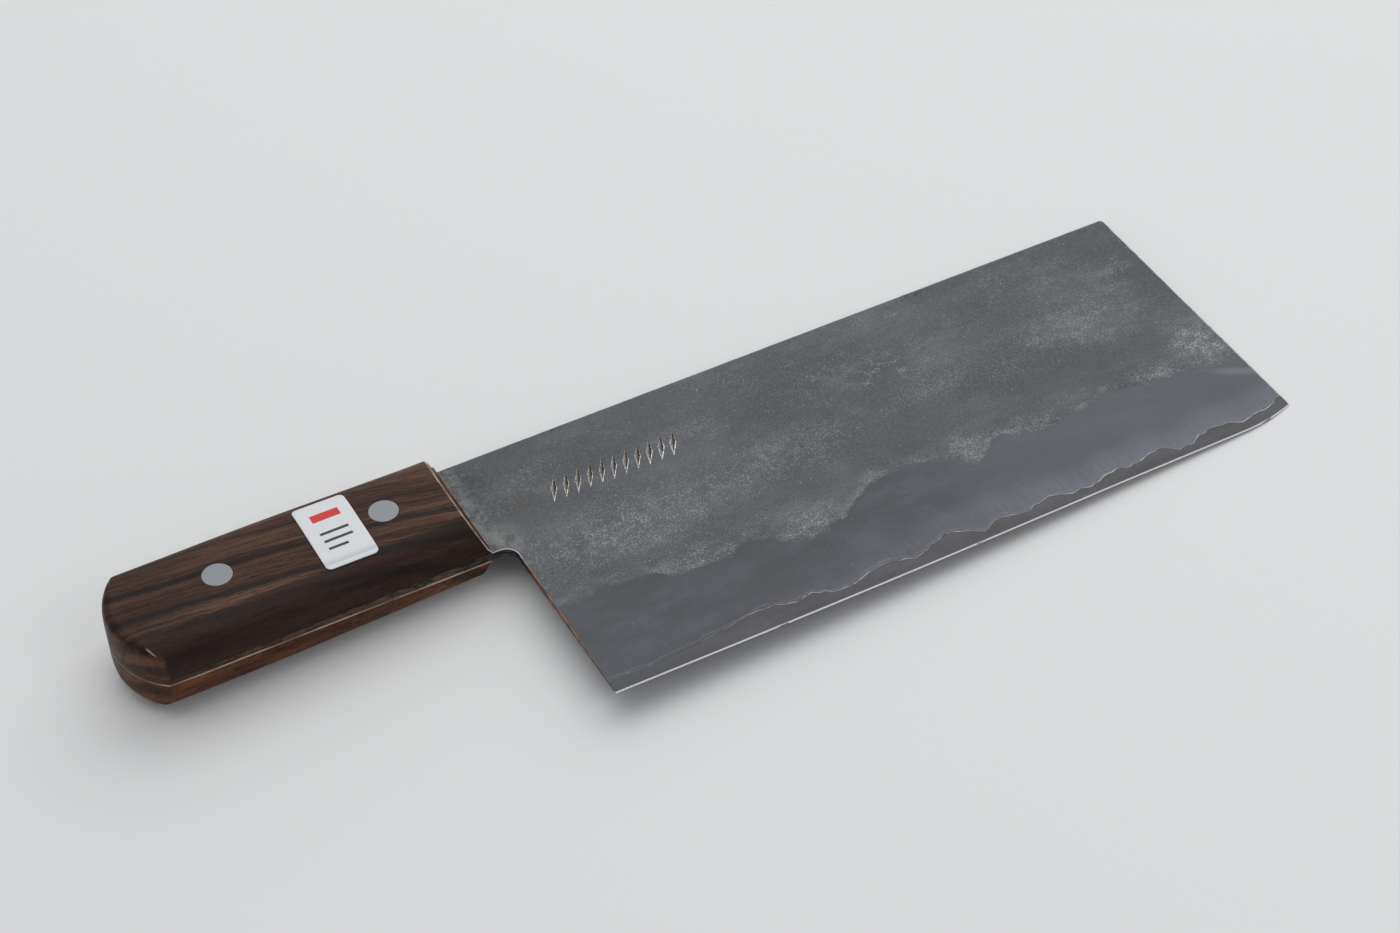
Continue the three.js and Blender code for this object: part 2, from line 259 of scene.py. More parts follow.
# Claddings. Soft iron layers forge-welded to both faces of the core. The upper part keeps the mottled grey
# skin of the forge, and the part near the edge is ground smooth. They end at a thin light weld line that
# wanders above the edge.
RIM = 0.3
RIM_DROP = 0.05
RIM_DROP_ABOVE = 30.0
GRID = 2.0
GRID_FROM = 8.0
NECK_X = -5.5
FORGE_WAVE = 14.0
FORGE_DEPTH = 0.1
WELD_WAVE = 2.2
WELD_WAVER = 2.6
WELD_BELOW = 10.0
FACING = 0.9
FACE_SLACK = 0.2
FACE_CREASE = 8.0
COPLANAR = 0.05
FORGED_ABOVE = 26.0
FORGED_MARGIN = 0.6
FORGED_FROM_NECK = 4.0
FORGED_EASE = 8.0
SKIN_EDGE = (
    (0.0, 35.2), (24.0, 34.6), (35.0, 30.4), (47.0, 28.6), (55.0, 31.4), (62.0, 30.4), (71.0, 24.8),
    (83.0, 26.4), (92.0, 31.0), (104.0, 35.2), (116.0, 34.6), (130.0, 28.4), (139.0, 32.6), (149.0, 28.6),
    (163.0, 30.6), (188.0, 31.2), (203.0, 28.4), (220.0, 26.0),
)
SKIN_EDGE_TOP = 50.0
BRIGHT_CLOUDS = (
    (44.0, 33.5, 14.0, 8.0, 0.42), (76.0, 31.0, 14.0, 9.5, 0.55), (130.0, 33.5, 10.0, 9.0, 0.45),
    (152.0, 33.0, 11.0, 7.0, 0.4), (196.0, 33.0, 14.0, 7.0, 0.5), (214.0, 38.0, 14.0, 17.0, 0.85),
    (34.0, 54.0, 52.0, 24.0, 0.4), (88.0, 58.0, 34.0, 18.0, 0.25), (188.0, 66.0, 40.0, 26.0, 0.3),
    (209.0, 78.0, 11.0, 4.0, 0.4), (140.0, 64.0, 24.0, 14.0, 0.2),
)
SPINE_SPOTS = ((152.0, 10.0), (212.0, 3.0), (31.0, 4.0))
SPINE_SPOT_Y = 99.0
SPINE_SPOT_REACH = 3.5
SKIN_RAGGED = 9.0
HAZE_UP = (19.0, 0.3)
HAZE_ALONG = (45.0, 165.0)
HAZE_FLOOR_ALONG = (80.0, 160.0)
GLEAM_AT = (208.0, 25.6)
GLEAM_SLOPE = 0.5
GLEAM_REACH = 4.2
GLEAM_ALONG = (202.0, 214.0)
DRIFT_ALONG = (160.0, 90.0)
RIDGED_PATCH = ((127.0, 74.0), (26.0, 16.0))
NECK_ALONG = (9.0, -2.0)
RUBBED_ALONG = (-0.5, -4.5)
RUBBED_PATCH = ((-1.0, 65.5), (8.0, 9.0))
BROWN_PATCH = ((8.5, 76.0), (11.0, 6.5))
STAIN_UP = (68.0, 76.0)
STAIN_PATCH = ((2.0, 89.0), (10.0, 13.0))
ECHO_ALONG = (150.0, 100.0)
WELD_CLEAR_ALONG = (24.0, 64.0)
WELD_BRIGHT_ALONG = (90.0, 160.0)
RIM_HEEL_ALONG = (12.0, 8.0)
RIM_HEEL_UP = (58.0, 50.0)
RIM_RUST_UP = (8.0, 28.0)
RIM_NECK_ALONG = (NECK_X - 1.5, NECK_X)
RIM_SPINE_UP = (SPINE_Y - 3.0, SPINE_Y - 1.5)
SKIN_DARK = (0.076, 0.081, 0.088, 1.0)
SKIN_LIGHT = (0.134, 0.14, 0.15, 1.0)
SKIN_SPECK = (0.31, 0.315, 0.322, 1.0)
GROUND_GREY = (0.062, 0.0635, 0.0695, 1.0)
GROUND_HAZE_GLEAM = (0.134, 0.138, 0.161, 1.0)
GROUND_MID = (0.086, 0.088, 0.0965, 1.0)
STAIN_DARK = (0.035, 0.037, 0.034, 1.0)
STAIN_BROWN = (0.075, 0.067, 0.06, 1.0)
RUBBED_PALE = (0.29, 0.285, 0.265, 1.0)
RIM_BRIGHT = (0.34, 0.345, 0.35, 1.0)
WELD_LIGHT = (0.26, 0.262, 0.268, 1.0)
WELD_BRIGHT = (0.34, 0.337, 0.33, 1.0)
CUT_DARK = (0.04, 0.032, 0.026, 1.0)
CUT_BROWN = (0.13, 0.105, 0.082, 1.0)
CUT_BRIGHT = (0.62, 0.61, 0.59, 1.0)
NICK_COUNT = 11
NICK_FIRST = (20.0, 77.0)
NICK_PITCH = 3.8
NICK_HALF_WIDTH = 1.5
NICK_HALF_LENGTH = 9.2
NICK_DEPTH = 0.7
BURR_HALF_WIDTH = 1.15
BURR_HALF_LENGTH = 5.7
BURR_HEIGHT = 0.34
BURR_SINK = 0.2
NICK_LEAN = 24.0
LIT_WALL_FACING = 0.2
FACE_AT_EDGE = 0.382
FACE_AT_SPINE = 1.85


def curve_of(tree, value, points, top):
    """A height drawn along the blade through a few points, in millimetres."""
    drawn = tree.nodes.new("ShaderNodeFloatCurve")
    line = drawn.mapping.curves[0]
    shares = [(x / BLADE_LENGTH, y / top) for x, y in points]
    line.points[0].location = shares[0]
    line.points[1].location = shares[-1]
    for share in shares[1:-1]:
        line.points.new(*share)
    drawn.mapping.update()
    tree.links.new(reckon(tree, "DIVIDE", value, BLADE_LENGTH), drawn.inputs["Value"])
    return reckon(tree, "MULTIPLY", drawn.outputs[0], top)


def oval(tree, place, centre, reach):
    """1 in the middle of an oval patch of the face, falling softly to 0 at its reach."""
    middle = tree.nodes.new("ShaderNodeMapping")
    middle.inputs["Scale"].default_value = (1 / reach[0], 1 / reach[1], 0.0)
    middle.inputs["Location"].default_value = (-centre[0] / reach[0], -centre[1] / reach[1], 0.0)
    tree.links.new(place, middle.inputs["Vector"])
    away = tree.nodes.new("ShaderNodeVectorMath")
    away.operation = "LENGTH"
    tree.links.new(middle.outputs["Vector"], away.inputs[0])
    return fade(tree, away.outputs["Value"], 1.0, 0.0)


def dots(tree, place, size, outside, inside):
    """Scattered soft dots of many strengths, about a size in millimetres apart, as wide as shares of it."""
    cells = tree.nodes.new("ShaderNodeTexVoronoi")
    cells.inputs["Scale"].default_value = 1 / size
    tree.links.new(place, cells.inputs["Vector"])
    strength = tree.nodes.new("ShaderNodeSeparateColor")
    tree.links.new(cells.outputs["Color"], strength.inputs[0])
    round_dot = fade(tree, cells.outputs["Distance"], outside, inside)
    return reckon(tree, "MULTIPLY", round_dot, fade(tree, strength.outputs[0], 0.25, 1.0))


def cladding_finish():
    """Forge skin with bare specks showing through, a hazy ground band at the edge with a painted highlight
    near the tip, stains at the neck.
    """
    finish, tree, surface, place = new_finish("cladding_forged", 0.6, 0.25)
    x, y, _ = axes(tree, place)
    above = tree.nodes.new("ShaderNodeAttribute")
    above.attribute_name = "above_weld"
    above = above.outputs["Fac"]

    ragged = mottle(tree, place, (9.0, 6.0, 9.0), 7.0, 0.66)
    edge = reckon(tree, "SUBTRACT", y, curve_of(tree, x, SKIN_EDGE, SKIN_EDGE_TOP))
    edge = reckon(tree, "MULTIPLY_ADD", reckon(tree, "SUBTRACT", ragged, 0.5), SKIN_RAGGED, edge)
    skin = fade(tree, edge, -1.1, 1.1)

    clouds = mottle(tree, place, (30.0, 14.0, 30.0), 5.0, 0.6, (3.0, 7.0, 0.0))
    clouds = fade(tree, clouds, 0.42, 0.72, 0.0, 0.25)
    for cx, cy, rx, ry, strength in BRIGHT_CLOUDS:
        patch = oval(tree, place, (cx, cy), (rx, ry))
        clouds = reckon(tree, "MULTIPLY_ADD", patch, strength, clouds)
    islands = mottle(tree, place, (13.0, 6.0, 13.0), 4.0, 0.6, (4.0, 4.0, 0.0))
    islands = fade(tree, islands, 0.44, 0.62, 0.0, 0.5)
    clouds = reckon(tree, "MULTIPLY_ADD", islands, fade(tree, edge, 6.0, 0.5), clouds)
    breakup = fade(tree, mottle(tree, place, (4.5, 3.5, 4.5), 4.0), 0.3, 0.65, 0.35, 1.15)
    clouds = reckon(tree, "MULTIPLY", clouds, breakup)

    salt = fade(tree, mottle(tree, place, (0.46, 0.4, 0.46), 2.0, 0.5, (7.0, 3.0, 0.0)), 0.48, 0.7)
    cover = reckon(tree, "MULTIPLY", reckon(tree, "ADD", clouds, 0.14), skin)
    specks = reckon(tree, "MULTIPLY", salt, reckon(tree, "MULTIPLY", cover, 1.1))
    heavy = reckon(tree, "MULTIPLY", fade(tree, clouds, 0.3, 0.85), skin)
    grains = reckon(tree, "MULTIPLY", dots(tree, place, 0.8, 0.52, 0.2), reckon(tree, "MULTIPLY", heavy, 1.6))
    grains = reckon(tree, "MINIMUM", grains, 1.0)
    flecks = mottle(tree, place, (0.9, 0.75, 0.9), 2.0, 0.5, (9.0, 4.0, 0.0))
    flecks = reckon(tree, "MULTIPLY", fade(tree, flecks, 0.64, 0.7), reckon(tree, "ADD", cover, 0.03))
    flecks = reckon(tree, "MULTIPLY", flecks, 0.8)
    specks = reckon(tree, "MAXIMUM", specks, reckon(tree, "MAXIMUM", grains, flecks))
    points = reckon(tree, "MULTIPLY", dots(tree, place, 1.7, 0.18, 0.06), fade(tree, ragged, 0.4, 0.6))
    points = reckon(tree, "MULTIPLY", points, fade(tree, skin, 0.0, 1.0, 0.3, 1.0))
    specks = reckon(tree, "MAXIMUM", specks, points)

    tone = mottle(tree, place, (40.0, 22.0, 40.0), 6.0, 0.6)
    fine = mottle(tree, place, (1.1, 0.9, 1.1), 3.0, 0.6)
    tone = reckon(tree, "MULTIPLY_ADD", reckon(tree, "SUBTRACT", fine, 0.5), 0.4, tone)
    tone = reckon(tree, "MULTIPLY_ADD", clouds, 0.45, tone)
    oxide = tint(tree, fade(tree, tone, 0.3, 1.0), SKIN_DARK, SKIN_LIGHT)

    lines = mottle(tree, place, (0.32, 13.0, 13.0), 3.0, 0.6)
    haze_and_gleam = reckon(tree, "MULTIPLY", fade(tree, above, *HAZE_UP), fade(tree, x, *HAZE_ALONG, 0.12, 1.0))
    haze_and_gleam = reckon(tree, "MULTIPLY", haze_and_gleam, fade(tree, lines, 0.3, 0.75, 0.62, 1.0))
    # Painted highlight: a bright slanting streak across the ground band near the tip.
    slant = reckon(tree, "MULTIPLY_ADD", reckon(tree, "SUBTRACT", x, GLEAM_AT[0]), GLEAM_SLOPE, y)
    slant = reckon(tree, "ABSOLUTE", reckon(tree, "SUBTRACT", slant, GLEAM_AT[1]))
    gleam = fade(tree, slant, GLEAM_REACH, 0.0)
    gleam = reckon(tree, "MULTIPLY", gleam, fade(tree, x, *GLEAM_ALONG, 0.0, 0.9))
    haze_and_gleam = reckon(tree, "MAXIMUM", haze_and_gleam, gleam)
    haze_and_gleam = reckon(tree, "MAXIMUM", haze_and_gleam, fade(tree, x, *HAZE_FLOOR_ALONG, 0.0, 0.36))
    drift = mottle(tree, place, (24.0, 9.0, 24.0), 4.0, 0.55, (2.0, 5.0, 0.0))
    drift = reckon(tree, "MULTIPLY_ADD", reckon(tree, "SUBTRACT", lines, 0.5), 0.22, drift)
    drift = reckon(tree, "MULTIPLY", fade(tree, drift, 0.35, 0.75), fade(tree, x, *DRIFT_ALONG, 0.12, 0.28))
    haze_and_gleam = reckon(tree, "MINIMUM", reckon(tree, "ADD", haze_and_gleam, drift), 1.0)
    ground = tint(tree, haze_and_gleam, GROUND_GREY, GROUND_HAZE_GLEAM)

    contour = mottle(tree, place, (17.0, 10.0, 17.0), 3.0, 0.5, (1.0, 2.0, 0.0))
    near_line = reckon(tree, "ABSOLUTE", reckon(tree, "SUBTRACT", contour, 0.52))
    ridge = reckon(tree, "MULTIPLY", fade(tree, near_line, 0.009, 0.0), oval(tree, place, *RIDGED_PATCH))
    oxide = tint(tree, reckon(tree, "MULTIPLY", ridge, 0.5), oxide, SKIN_SPECK)

    neck = fade(tree, x, *NECK_ALONG)
    rubbed = fade(tree, mottle(tree, place, (4.0, 6.0, 4.0), 4.0, 0.6, (1.0, 9.0, 0.0)), 0.34, 0.62)
    worn = reckon(tree, "MAXIMUM", fade(tree, x, *RUBBED_ALONG, 0.0, 0.55), oval(tree, place, *RUBBED_PATCH))
    rubbed = reckon(tree, "MULTIPLY", rubbed, worn)
    oxide = tint(tree, reckon(tree, "MULTIPLY", rubbed, 0.7), oxide, RUBBED_PALE)
    brown = reckon(tree, "MULTIPLY", oval(tree, place, *BROWN_PATCH), 0.55)
    oxide = tint(tree, brown, oxide, STAIN_BROWN)
    colour = tint(tree, skin, ground, oxide)
    colour = tint(tree, specks, colour, SKIN_SPECK)

    blots = mottle(tree, place, (1.7, 1.7, 1.7), 5.0, 0.7, (5.0, 0.0, 0.0))
    stain = reckon(tree, "MULTIPLY", neck, fade(tree, y, *STAIN_UP))
    stain = reckon(tree, "MULTIPLY", stain, fade(tree, blots, 0.5, 0.62))
    cloud = reckon(tree, "MULTIPLY", oval(tree, place, *STAIN_PATCH), fade(tree, blots, 0.32, 0.6))
    stain = reckon(tree, "MULTIPLY", stain, 0.8)
    stain = reckon(tree, "MAXIMUM", stain, reckon(tree, "MULTIPLY", cloud, 0.6))
    for cx, reach in SPINE_SPOTS:
        spot = oval(tree, place, (cx, SPINE_SPOT_Y), (reach, SPINE_SPOT_REACH))
        spot = reckon(tree, "MULTIPLY", spot, fade(tree, blots, 0.48, 0.6))
        stain = reckon(tree, "MAXIMUM", stain, spot)
    colour = tint(tree, reckon(tree, "MULTIPLY", stain, 0.8), colour, STAIN_DARK)

    echo = reckon(tree, "MULTIPLY_ADD", ragged, 3.6, -0.7)
    echo = reckon(tree, "ABSOLUTE", reckon(tree, "SUBTRACT", above, echo))
    echo = reckon(tree, "MULTIPLY", fade(tree, echo, 0.3, 0.0), fade(tree, x, *ECHO_ALONG, 0.5, 0.9))
    colour = tint(tree, reckon(tree, "MULTIPLY", echo, 0.22), colour, WELD_LIGHT)

    feed(tree, surface.inputs["Base Color"], colour)
    feed(tree, surface.inputs["Metallic"], fade(tree, skin, 0.0, 1.0, 0.75, 0.5))
    rough = tint(tree, skin, (0.4, 0.4, 0.4, 1.0), (0.54, 0.54, 0.54, 1.0))
    rough = tint(tree, specks, rough, (0.36, 0.36, 0.36, 1.0))
    feed(tree, surface.inputs["Roughness"], rough)
    pits = tint(tree, skin, reckon(tree, "MULTIPLY", lines, 0.3), reckon(tree, "MAXIMUM", salt, grains))
    relief(tree, surface, pits, 0.016)
    return finish


def weld_finish():
    """The weld line itself: clean bright iron, clearer in some stretches than in others."""
    finish, tree, surface, place = new_finish("weld_line_bright", 0.75, 0.25)
    patches = mottle(tree, place, (9.0, 9.0, 9.0), 5.0, 0.65)
    x = axes(tree, place)[0]
    clear = fade(tree, patches, 0.34, 0.62, 0.25, 1.0)
    clear = reckon(tree, "MULTIPLY", clear, fade(tree, x, *WELD_CLEAR_ALONG, 0.1, 1.0))
    iron = tint(tree, fade(tree, x, *WELD_BRIGHT_ALONG), WELD_LIGHT, WELD_BRIGHT)
    feed(tree, surface.inputs["Base Color"], tint(tree, clear, GROUND_MID, iron))
    feed(tree, surface.inputs["Roughness"], fade(tree, patches, 0.3, 0.7, 0.42, 0.32))
    return finish


def rim_finish():
    """Broken arris of the plate: rubbed bright at the tip, fainter at the spine, rusty at the heel."""
    finish, tree, surface, place = new_finish("plate_arris_rubbed", 0.75, 0.25)
    rubs = mottle(tree, place, (5.0, 5.0, 5.0), 5.0, 0.65)
    x, y, _ = axes(tree, place)
    heel = reckon(tree, "MULTIPLY", fade(tree, x, *RIM_HEEL_ALONG), fade(tree, y, *RIM_HEEL_UP))
    bright = reckon(tree, "MULTIPLY", fade(tree, rubs, 0.32, 0.56), fade(tree, x, *RIM_NECK_ALONG))
    bright = reckon(tree, "MULTIPLY", bright, reckon(tree, "SUBTRACT", 1.0, heel))
    bright = reckon(tree, "MULTIPLY", bright, fade(tree, y, *RIM_SPINE_UP, 1.0, 0.35))
    colour = tint(tree, bright, GROUND_MID, RIM_BRIGHT)
    rust = reckon(tree, "MULTIPLY", heel, fade(tree, rubs, 0.42, 0.58, 0.0, 0.7))
    colour = tint(tree, reckon(tree, "MULTIPLY", rust, fade(tree, y, *RIM_RUST_UP)), colour, EDGE_RUST)
    feed(tree, surface.inputs["Base Color"], colour)
    feed(tree, surface.inputs["Roughness"], fade(tree, rubs, 0.35, 0.65, 0.5, 0.33))
    return finish


def chisel_finish(name, under, over):
    """A wall of the chisel nicks or their burrs, mottled from one tone of patina or bare steel to another."""
    finish, tree, surface, place = new_finish(name, 1.0, 0.5)
    bare = mottle(tree, place, (0.7, 0.7, 0.3), 3.0, 0.6)
    feed(tree, surface.inputs["Base Color"], tint(tree, fade(tree, bare, 0.34, 0.54), under, over))
    feed(tree, surface.inputs["Roughness"], fade(tree, bare, 0.3, 0.7, 0.6, 0.35))
    return finish


def pick(piece, what, chosen):
    """Selects the chosen faces or corners of a piece, and leaves it in edit mode."""
    bpy.ops.object.mode_set(mode="EDIT")
    bpy.ops.mesh.select_mode(type=what)
    bpy.ops.mesh.select_all(action="DESELECT")
    bpy.ops.object.mode_set(mode="OBJECT")
    parts = piece.data.polygons if what == "FACE" else piece.data.vertices
    for index in chosen:
        parts[index].select = True
    bpy.ops.object.mode_set(mode="EDIT")


def waver(piece, group, direction, wave, depth):
    """Moves a named group of corners in and out by slow waves, about as long and at most as deep as given."""
    waves = bpy.data.textures.new(group + "_waves", "CLOUDS")
    waves.noise_scale = wave * MM
    moving = piece.modifiers.new(group, "DISPLACE")
    moving.texture = waves
    moving.texture_coords = "LOCAL"
    moving.direction = direction
    moving.strength = depth * MM
    moving.vertex_group = group
    bpy.ops.object.modifier_apply(modifier=moving.name)


def face_height(y):
    """Height of the blade's face over mid steel, thin at the edge and thick at the spine."""
    return FACE_AT_EDGE + (FACE_AT_SPINE - FACE_AT_EDGE) * y / SPINE_Y


def forged_cladding(node, name, side):
    """One cladding: a broken arris round the face, a fine weld strip, and the slow waves of the forging."""
    piece = joined_copy(node, name)
    for finish in (cladding, weld, rim, raw_edge):
        piece.data.materials.append(finish)
    bpy.ops.object.mode_set(mode="EDIT")
    bpy.ops.mesh.select_all(action="SELECT")
    bpy.ops.mesh.dissolve_limited(angle_limit=math.radians(COPLANAR))
    bpy.ops.object.mode_set(mode="OBJECT")

    pick(piece, "FACE", [f.index for f in piece.data.polygons if f.normal.z * side > FACING])
    bpy.ops.mesh.inset(thickness=RIM * MM)
    bpy.ops.object.mode_set(mode="OBJECT")
    inner = {v for f in piece.data.polygons if f.select for v in f.vertices}
    outer = set()
    for face in piece.data.polygons:
        if face.normal.z * side > FACING and not face.select:
            outer.update(set(face.vertices) - inner)
            face.material_index = 1 if knife(face.center).y < WELD_BELOW else 2
        elif abs(face.normal.z) < SIDEWAYS:
            face.material_index = 3
    weld_line = np.array(sorted((knife(piece.data.vertices[v].co).xy for v in outer), key=lambda p: p.x))
    weld_line = weld_line[weld_line[:, 1] < WELD_BELOW]

    pick(piece, "VERT", [v for v in outer if knife(piece.data.vertices[v].co).y > RIM_DROP_ABOVE])
    bpy.ops.transform.translate(value=(0, 0, -side * RIM_DROP * MM))
    for cut in np.arange(GRID, BLADE_LENGTH, GRID):
        bpy.ops.mesh.select_all(action="SELECT")
        bpy.ops.mesh.bisect(plane_co=framed(cut, 0, 0), plane_no=(1, 0, 0))
    for cut in np.arange(GRID_FROM, SPINE_Y - GRID / 2, GRID):
        bpy.ops.mesh.select_all(action="SELECT")
        bpy.ops.mesh.bisect(plane_co=framed(0, cut, 0), plane_no=(0, 1, 0))
    bpy.ops.object.mode_set(mode="OBJECT")

    places = [knife(corner.co) for corner in piece.data.vertices]
    heights = [y - np.interp(x, weld_line[:, 0], weld_line[:, 1]) for x, y, _ in places]
    forged = piece.vertex_groups.new(name="forged")
    welded = piece.vertex_groups.new(name="welded")
    for index, (x, y, z) in enumerate(places):
        room_up = min(y - FORGED_ABOVE, SPINE_Y - FORGED_MARGIN - y)
        room_along = min(x - NECK_X - FORGED_FROM_NECK, BLADE_LENGTH - FORGED_MARGIN - x)
        room = min(room_up, room_along)
        on_face = z * side > face_height(y) - FACE_SLACK
        if room > 0 and on_face:
            forged.add([index], min(1.0, room / FORGED_EASE), "REPLACE")
        if abs(heights[index]) < 1.5 * RIM and RIM < x < BLADE_LENGTH - RIM:
            welded.add([index], 1.0, "REPLACE")
    above = piece.data.attributes.new("above_weld", "FLOAT", "POINT")
    above.data.foreach_set("value", heights)
    waver(piece, "forged", "NORMAL", FORGE_WAVE, FORGE_DEPTH)
    waver(piece, "welded", "Y", WELD_WAVE, WELD_WAVER)
    return piece


def finish_cladding(piece, node):
    """Smooths the face between its arrises and fixes the cladding to the core."""
    work_on(piece)
    bpy.ops.object.shade_smooth_by_angle(angle=math.radians(FACE_CREASE))
    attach(piece, "root")
    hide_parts(node)


def chisel_row(half_width, half_length, height, lift):
    """A row of slender pyramids on the face, to raise a burr or, upside down, to cut a nick."""
    bpy.ops.object.select_all(action="DESELECT")
    bpy.ops.mesh.primitive_cone_add(vertices=4, radius1=1.0, radius2=0.0, depth=1.0)
    row = bpy.context.view_layer.objects.active
    face = face_height(NICK_FIRST[1])
    row.scale = (half_width * MM, half_length * MM, height * MM)
    row.rotation_euler.z = -math.radians(NICK_LEAN)
    row.location = framed(*NICK_FIRST, face + lift * height - BURR_SINK * lift)
    bpy.ops.object.transform_apply()
    bpy.ops.object.mode_set(mode="EDIT")
    bpy.ops.mesh.select_all(action="SELECT")
    bpy.ops.mesh.normals_make_consistent()
    for _ in range(NICK_COUNT - 1):
        bpy.ops.mesh.duplicate()
        bpy.ops.transform.translate(value=(NICK_PITCH * MM, 0, 0))
    bpy.ops.object.mode_set(mode="OBJECT")
    return row


def strike(piece, row, operation):
    """Joins a row to the face or takes it away, leaving the row's own finish where it was."""
    work_on(piece)
    chiselling = piece.modifiers.new("chiselling", "BOOLEAN")
    chiselling.operation = operation
    chiselling.object = row
    chiselling.material_mode = "TRANSFER"
    bpy.ops.object.modifier_apply(modifier=chiselling.name)
    bpy.data.objects.remove(row)


cladding = cladding_finish()
weld = weld_finish()
rim = rim_finish()
upper_cladding = forged_cladding("upper_cladding", "upper_cladding_forged", 1)
lower_cladding = forged_cladding("lower_cladding", "lower_cladding_forged", -1)

burrs = chisel_row(BURR_HALF_WIDTH, BURR_HALF_LENGTH, BURR_HEIGHT, 0.5)
burrs.data.materials.append(chisel_finish("chisel_burr_bare", CUT_BROWN, CUT_BRIGHT))
strike(upper_cladding, burrs, "UNION")
nicks = chisel_row(NICK_HALF_WIDTH, NICK_HALF_LENGTH, -2 * NICK_DEPTH, 0.0)
nicks.data.materials.append(chisel_finish("chisel_wall_browned", CUT_DARK, CUT_BROWN))
nicks.data.materials.append(chisel_finish("chisel_wall_bare_lit", CUT_BROWN, CUT_BRIGHT))
# Painted highlight: walls that face the lamps on the right take bare bright steel, the others the dark brown
# patina of the hollows.
for face in nicks.data.polygons:
    face.material_index = 1 if face.normal.x < -LIT_WALL_FACING else 0
strike(upper_cladding, nicks, "DIFFERENCE")
finish_cladding(upper_cladding, "upper_cladding")
finish_cladding(lower_cladding, "lower_cladding")

# Handle scales. Two slabs of dark, streaked rosewood, glued to the tang and sanded together with it, boxy at
# the butt and rounder at the front, with their sharp corners just taken off. The grain runs along the handle.
ARRIS = 0.42
FRONT_ARRIS = 0.65
FRONT_END = -14.0
UPPER_SEAM_ARRIS = 0.1
LOWER_SEAM_ARRIS = 0.5
SEAM = 1.9
BUTT_SHEEN_FROM = 6.5
LIP_FACING = 0.2
FRONT_FACING = 0.3
BUTT_FACING = 0.2
BORE_MARGIN = 0.5
CREASE = 30.0
RIVETS = ((-28.7, 83.3), (-77.9, 83.3))
RIVET_HEAD = 4.3
LAND = 11.0
GRAIN_TURN = 0.11
GRAIN_ORIGIN = 80.0
GRAIN_BEND = 0.0016
GRAIN_BEND_FROM = 60.0
FLANK_SHADE_UP = (71.8, 69.4)
BUTT_SHADE_ALONG = (-62.0, -104.0)
BUTT_WALL_ALONG = (-100.5, -102.5)
BUTT_WALL_UP = (10.2, 8.6)
BUTT_CORNER_ALONG = (-92.0, -98.0)
BUTT_CORNER_UP = (2.0, 4.0)
BUTT_HIGHLIGHT_UP = (8.8, 9.8)
BUTT_HIGHLIGHT_TOP = (10.8, 10.2)
BUTT_LIP_ALONG = (-102.5, -106.0)
RING_SLOPE = (0.28, 0.9)
RING_WANDER = 5.0
DARK_STREAKS = ((86.0, 1.8, 0.95), (75.6, 2.4, 0.95), (95.3, 1.3, 0.7), (68.5, 1.3, 0.7), (79.8, 0.8, 0.6))
UPPER_TONES = ((0.15, 0.076, 0.044, 1.0), (0.078, 0.034, 0.02, 1.0), (0.036, 0.0135, 0.0082, 1.0))
LOWER_TONES = ((0.175, 0.073, 0.031, 1.0), (0.1, 0.037, 0.015, 1.0), (0.052, 0.0168, 0.0076, 1.0))
END_BROWN = (0.135, 0.055, 0.03, 1.0)
END_DARK = (0.034, 0.0135, 0.0085, 1.0)
WOOD_DARK = (0.009, 0.0062, 0.0056, 1.0)
WOOD_SHADE_DARK = (0.017, 0.0072, 0.006, 1.0)
WOOD_BURNISH_HIGHLIGHT = (0.52, 0.345, 0.245, 1.0)


